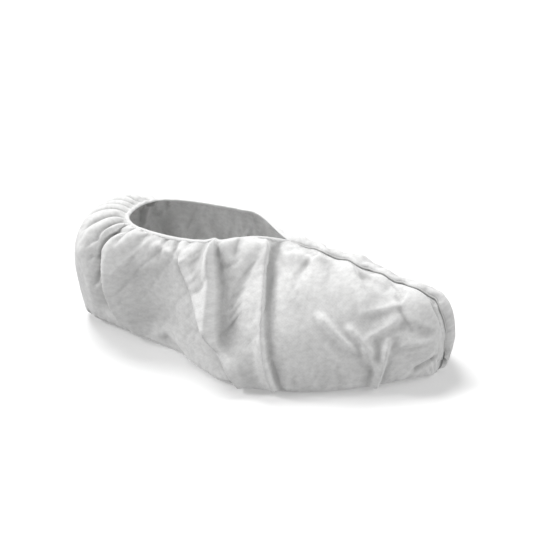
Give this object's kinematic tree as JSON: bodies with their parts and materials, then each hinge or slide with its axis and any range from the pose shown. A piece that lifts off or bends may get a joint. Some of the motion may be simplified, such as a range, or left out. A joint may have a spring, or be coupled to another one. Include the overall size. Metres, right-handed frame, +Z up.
{
  "type": "disposable shoe cover",
  "caption": "Disposable cloth shoe cover standing in its worn shape, with a gathered elastic opening at the ankle and a sewn seam over the toe.",
  "frame": {"origin": "middle of the footprint's box, on the floor", "axes": "+X towards the toe, +Y towards the far side, away from the camera, +Z up"},
  "size_m": [0.3215, 0.1314, 0.1019],
  "materials": {
    "nonwoven": "white spunbond nonwoven cloth, matt, with fine bond points",
    "hem": "the same white cloth turned over an elastic and gathered",
    "thread": "white sewing thread sunk in the cloth's groove"
  },
  "bodies": {
    "root": {"cloth_body": "nonwoven", "opening_hem": "hem", "front_seam": "thread"}
  },
  "joints": []
}
